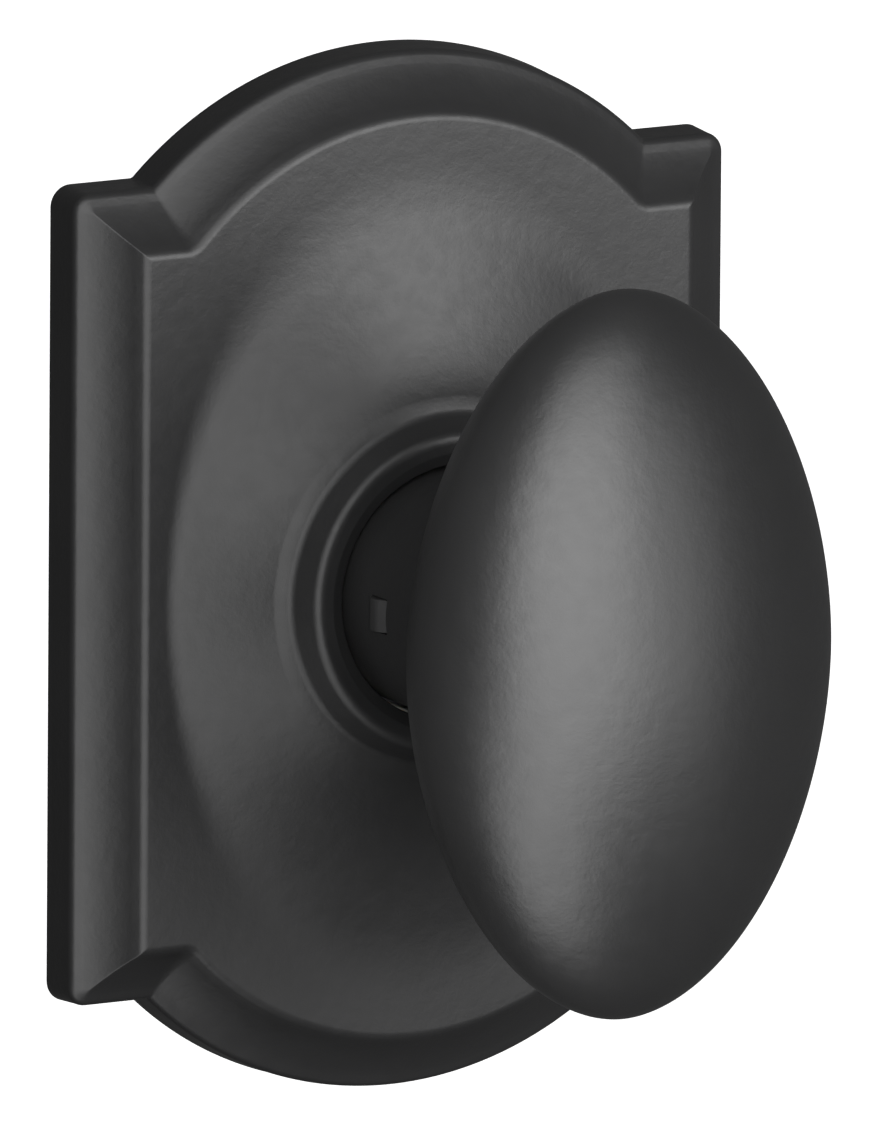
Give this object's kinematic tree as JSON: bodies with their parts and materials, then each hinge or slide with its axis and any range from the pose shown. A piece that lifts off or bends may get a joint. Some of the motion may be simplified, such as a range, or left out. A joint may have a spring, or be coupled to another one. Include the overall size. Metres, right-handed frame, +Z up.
{
  "type": "door knob",
  "caption": "Oval door knob with a satin black shaped plate rosette, spring-return mechanism, push catch in the neck, square spindle and through-bolt posts.",
  "frame": {"origin": "the centre of the square spindle's free end, on the knob's turning axis, 36 mm behind the door face", "axes": "+Z up, -Y out of the door towards the hand, +Y into the door along the spindle, +X to the viewer's right when facing the knob"},
  "size_m": [0.0728, 0.1, 0.104],
  "materials": {
    "black": "satin",
    "brass": "turned",
    "nylon": "matte",
    "plated_steel": "zinc plated",
    "cast_zinc": "as cast",
    "spring_steel": "bright",
    "catch_steel": "blackened"
  },
  "bodies": {
    "rose": {"rosette": "black", "mounting_plate": "plated_steel", "post_left": "plated_steel", "post_right": "plated_steel", "clip_top": "spring_steel", "clip_bottom": "spring_steel", "clip_rivet_top": "plated_steel", "clip_rivet_bottom": "plated_steel", "spring_cage": "plated_steel", "cage_screw_top": "plated_steel", "cage_screw_bottom": "plated_steel", "cage_bushing": "nylon", "neck_bushing": "nylon", "return_spring": "spring_steel"},
    "knob": {"knob_front_shell": "black", "knob_rear_shell": "black", "knob_ring_nut": "brass", "knob_neck": "black", "drive_sleeve": "cast_zinc", "thrust_washer": "brass", "retaining_ring": "spring_steel", "spindle": "plated_steel", "spindle_pin": "spring_steel", "catch_spring": "spring_steel"},
    "catch": {"knob_catch": "catch_steel"}
  },
  "joints": [
    {"name": "knob_turn", "type": "hinge", "parent": "rose", "child": "knob", "pos_m": [0, -0.036, 0], "axis": [0, -1, 0], "range_deg": [-60, 60], "stiffness_Nm_per_rad": 0.25, "deforming": ["return_spring"]},
    {"name": "catch_press", "type": "slide", "parent": "knob", "child": "catch", "axis": [1, 0, 0], "range_m": [0, 0.0022], "stiffness_N_per_m": 600, "springref_m": -0.002, "deforming": ["catch_spring"]}
  ]
}
